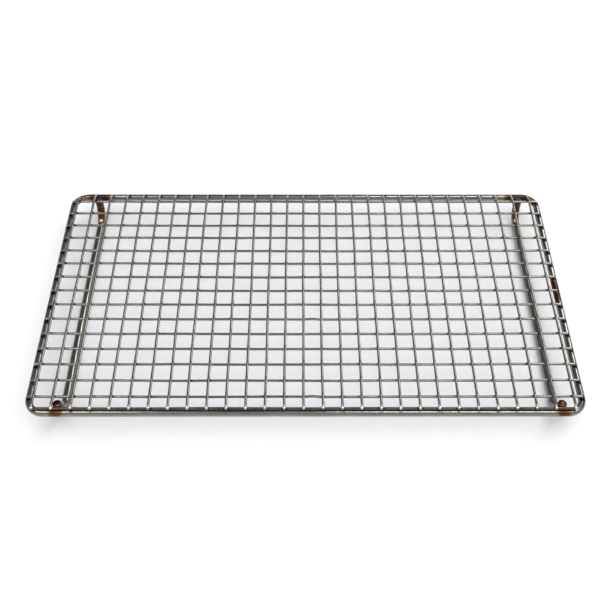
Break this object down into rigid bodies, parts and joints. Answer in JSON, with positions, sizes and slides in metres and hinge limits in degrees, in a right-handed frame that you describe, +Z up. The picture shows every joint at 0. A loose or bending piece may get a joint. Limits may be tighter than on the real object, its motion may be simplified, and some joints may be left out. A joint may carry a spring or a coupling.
{
  "type": "cooling rack",
  "caption": "Rectangular cooling rack: a welded grid of thin steel wires on a round rod rim with rounded corners, standing on two bent rod feet.",
  "frame": {"origin": "on the table, under the middle of the rim", "axes": "+X along the rack's length to the right, +Y to the back, +Z up through the grid"},
  "size_m": [0.372, 0.2014, 0.025],
  "materials": {
    "wire_steel": "bright drawn stainless wire",
    "rod_steel": "bright drawn stainless rod",
    "weld_steel": "weld bead with brown and blue heat tint"
  },
  "bodies": {
    "root": {"short_wire_01": "wire_steel", "short_wire_02": "wire_steel", "short_wire_03": "wire_steel", "short_wire_04": "wire_steel", "short_wire_05": "wire_steel", "short_wire_06": "wire_steel", "short_wire_07": "wire_steel", "short_wire_08": "wire_steel", "short_wire_09": "wire_steel", "short_wire_10": "wire_steel", "short_wire_11": "wire_steel", "short_wire_12": "wire_steel", "short_wire_13": "wire_steel", "short_wire_14": "wire_steel", "short_wire_15": "wire_steel", "short_wire_16": "wire_steel", "short_wire_17": "wire_steel", "short_wire_18": "wire_steel", "short_wire_19": "wire_steel", "short_wire_20": "wire_steel", "short_wire_21": "wire_steel", "short_wire_22": "wire_steel", "short_wire_23": "wire_steel", "short_wire_24": "wire_steel", "short_wire_25": "wire_steel", "short_wire_26": "wire_steel", "short_wire_27": "wire_steel", "short_wire_28": "wire_steel", "short_wire_29": "wire_steel", "long_wire_01": "wire_steel", "long_wire_02": "wire_steel", "long_wire_03": "wire_steel", "long_wire_04": "wire_steel", "long_wire_05": "wire_steel", "long_wire_06": "wire_steel", "long_wire_07": "wire_steel", "long_wire_08": "wire_steel", "long_wire_09": "wire_steel", "long_wire_10": "wire_steel", "long_wire_11": "wire_steel", "long_wire_12": "wire_steel", "long_wire_13": "wire_steel", "long_wire_14": "wire_steel", "long_wire_15": "wire_steel", "long_wire_16": "wire_steel", "rim_rod": "rod_steel", "foot_left": "rod_steel", "foot_right": "rod_steel", "rim_butt_weld": "weld_steel", "weld_front_left": "weld_steel", "weld_front_right": "weld_steel", "weld_back_left": "weld_steel", "weld_back_right": "weld_steel"}
  },
  "joints": []
}
